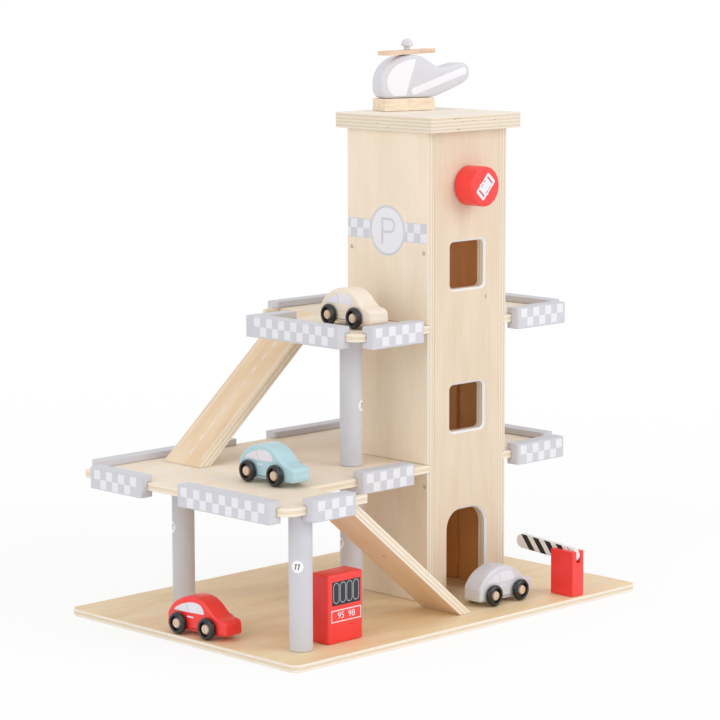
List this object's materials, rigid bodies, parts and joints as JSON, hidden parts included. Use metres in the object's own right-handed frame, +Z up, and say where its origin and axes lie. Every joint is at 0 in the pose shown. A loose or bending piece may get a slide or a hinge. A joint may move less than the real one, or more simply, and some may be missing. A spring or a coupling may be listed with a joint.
{
  "type": "toy parking garage",
  "caption": "Wooden toy parking garage with a knob-driven lift tower, parking floors joined by ramps, guard rails, a swing barrier, a fuel pump, a toy helicopter and small cars.",
  "frame": {"origin": "middle of the base board's underside", "axes": "+Z up the lift tower, +X along the base board's long front edge to the right, +Y to the back"},
  "size_m": [0.45, 0.3052, 0.5274],
  "materials": {
    "plywood": "clear-lacquered birch plywood",
    "solid_wood": "clear-lacquered solid wood",
    "grey_paint": "satin grey paint with white check prints",
    "pale_grey_paint": "satin pale grey paint",
    "red_paint": "satin red paint",
    "blue_paint": "satin pale blue paint",
    "striped_paint": "white paint with black diagonal bands",
    "wheel": "black wheel with a plain wooden hub",
    "cord": "thin twisted cord"
  },
  "bodies": {
    "garage": {"base_board": "plywood", "tower_front": "plywood", "tower_back": "plywood", "tower_left": "plywood", "tower_right": "plywood", "roof_board": "plywood", "level1_deck": "plywood", "level2_deck": "plywood", "level1_rail_left_rear": "grey_paint", "level1_rail_left_front": "grey_paint", "level1_rail_front": "grey_paint", "level1_rail_tower": "grey_paint", "level1_rail_back_left": "grey_paint", "level1_rail_back_right": "grey_paint", "level1_rail_wing_front": "grey_paint", "level1_rail_wing_side": "grey_paint", "level2_rail_left": "grey_paint", "level2_rail_front": "grey_paint", "level2_rail_ramp": "grey_paint", "level2_rail_back": "grey_paint", "level2_rail_wing_front": "grey_paint", "level2_rail_wing_side": "grey_paint", "pillar_front": "grey_paint", "pillar_rear": "grey_paint", "pillar_middle": "grey_paint", "pillar_far": "grey_paint", "upper_pillar_middle": "grey_paint", "upper_pillar_far": "grey_paint", "lower_ramp": "plywood", "upper_ramp": "plywood", "fuel_pump": "red_paint", "barrier_post": "red_paint", "barrier_pin": "solid_wood", "lift_cord": "cord"},
    "lift_drive": {"lift_knob": "red_paint", "lift_spindle": "solid_wood"},
    "lift_cage": {"lift_cage": "plywood"},
    "helicopter": {"helicopter_block": "solid_wood", "helicopter_body": "pale_grey_paint", "helicopter_mast": "pale_grey_paint"},
    "rotor": {"helicopter_rotor": "solid_wood"},
    "barrier_arm": {"barrier_arm": "striped_paint"},
    "red_car": {"red_car_body": "red_paint"},
    "red_car_front_wheels": {"red_car_front_wheels": "wheel"},
    "red_car_rear_wheels": {"red_car_rear_wheels": "wheel"},
    "blue_car": {"blue_car_body": "blue_paint"},
    "blue_car_front_wheels": {"blue_car_front_wheels": "wheel"},
    "blue_car_rear_wheels": {"blue_car_rear_wheels": "wheel"},
    "wood_car": {"wood_car_body": "solid_wood"},
    "wood_car_front_wheels": {"wood_car_front_wheels": "wheel"},
    "wood_car_rear_wheels": {"wood_car_rear_wheels": "wheel"},
    "grey_car": {"grey_car_body": "pale_grey_paint"},
    "grey_car_front_wheels": {"grey_car_front_wheels": "wheel"},
    "grey_car_rear_wheels": {"grey_car_rear_wheels": "wheel"}
  },
  "joints": [
    {"name": "knob_turn", "type": "hinge", "parent": "garage", "child": "lift_drive", "pos_m": [0.07295, -0.07065, 0.3945], "axis": [0, 1, 0], "range_deg": [-1597, 0]},
    {"name": "lift_travel", "type": "slide", "parent": "garage", "child": "lift_cage", "axis": [0, 0, 1], "range_m": [-0.2535, 0], "deforming": ["lift_cord"]},
    {"name": "helicopter_lift_off", "type": "slide", "parent": "garage", "child": "helicopter", "axis": [0, 0, 1], "range_m": [0, 0.08]},
    {"name": "rotor_spin", "type": "hinge", "parent": "helicopter", "child": "rotor", "pos_m": [0.07729, 0.01233, 0.5147], "axis": [0, 0, 1], "continuous": true},
    {"name": "barrier_swing", "type": "hinge", "parent": "garage", "child": "barrier_arm", "pos_m": [0.1433, -0.1421, 0.04605], "axis": [1, 0, 0], "range_deg": [-3.7, 80]},
    {"name": "red_car_roll", "type": "slide", "parent": "garage", "child": "red_car", "axis": [0.075, -0.9972, 0], "range_m": [-0.04, 0.045]},
    {"name": "red_car_front_wheels_spin", "type": "hinge", "parent": "red_car", "child": "red_car_front_wheels", "pos_m": [-0.20505, -0.03, 0.0173], "axis": [0.9972, 0.075, 0], "range_deg": [-228, 256]},
    {"name": "red_car_rear_wheels_spin", "type": "hinge", "parent": "red_car", "child": "red_car_rear_wheels", "pos_m": [-0.20775, 0.0059, 0.0173], "axis": [0.9972, 0.075, 0], "range_deg": [-228, 256]},
    {"name": "blue_car_roll", "type": "slide", "parent": "garage", "child": "blue_car", "axis": [0, -1, 0], "range_m": [-0.06, 0.018]},
    {"name": "blue_car_front_wheels_spin", "type": "hinge", "parent": "blue_car", "child": "blue_car_front_wheels", "pos_m": [-0.1377, -0.04825, 0.1483], "axis": [1, 0, 0], "range_deg": [-341, 103]},
    {"name": "blue_car_rear_wheels_spin", "type": "hinge", "parent": "blue_car", "child": "blue_car_rear_wheels", "pos_m": [-0.1377, -0.01225, 0.1483], "axis": [1, 0, 0], "range_deg": [-341, 103]},
    {"name": "wood_car_roll", "type": "slide", "parent": "garage", "child": "wood_car", "axis": [-0.0819, -0.9966, 0], "range_m": [-0.041, 0]},
    {"name": "wood_car_front_wheels_spin", "type": "hinge", "parent": "wood_car", "child": "wood_car_front_wheels", "pos_m": [-0.03188, -0.04179, 0.2788], "axis": [0.9966, -0.0819, 0], "range_deg": [-234, 1]},
    {"name": "wood_car_rear_wheels_spin", "type": "hinge", "parent": "wood_car", "child": "wood_car_rear_wheels", "pos_m": [-0.02892, -0.00591, 0.2788], "axis": [0.9966, -0.0819, 0], "range_deg": [-234, 1]},
    {"name": "grey_car_roll", "type": "slide", "parent": "garage", "child": "grey_car", "axis": [1, 0, 0], "range_m": [-0.015, 0.03]},
    {"name": "grey_car_front_wheels_spin", "type": "hinge", "parent": "grey_car", "child": "grey_car_front_wheels", "pos_m": [0.0928, -0.10845, 0.0173], "axis": [0, 1, 0], "range_deg": [-86, 171]},
    {"name": "grey_car_rear_wheels_spin", "type": "hinge", "parent": "grey_car", "child": "grey_car_rear_wheels", "pos_m": [0.0568, -0.10845, 0.0173], "axis": [0, 1, 0], "range_deg": [-86, 171]}
  ],
  "couplings": [
    {"joint": "knob_turn", "follows": "lift_travel", "rad_per_m": 109.89},
    {"joint": "red_car_front_wheels_spin", "follows": "red_car_roll", "rad_per_m": 99.01},
    {"joint": "red_car_rear_wheels_spin", "follows": "red_car_roll", "rad_per_m": 99.01},
    {"joint": "blue_car_front_wheels_spin", "follows": "blue_car_roll", "rad_per_m": 99.01},
    {"joint": "blue_car_rear_wheels_spin", "follows": "blue_car_roll", "rad_per_m": 99.01},
    {"joint": "wood_car_front_wheels_spin", "follows": "wood_car_roll", "rad_per_m": 99.01},
    {"joint": "wood_car_rear_wheels_spin", "follows": "wood_car_roll", "rad_per_m": 99.01},
    {"joint": "grey_car_front_wheels_spin", "follows": "grey_car_roll", "rad_per_m": 99.01},
    {"joint": "grey_car_rear_wheels_spin", "follows": "grey_car_roll", "rad_per_m": 99.01}
  ]
}
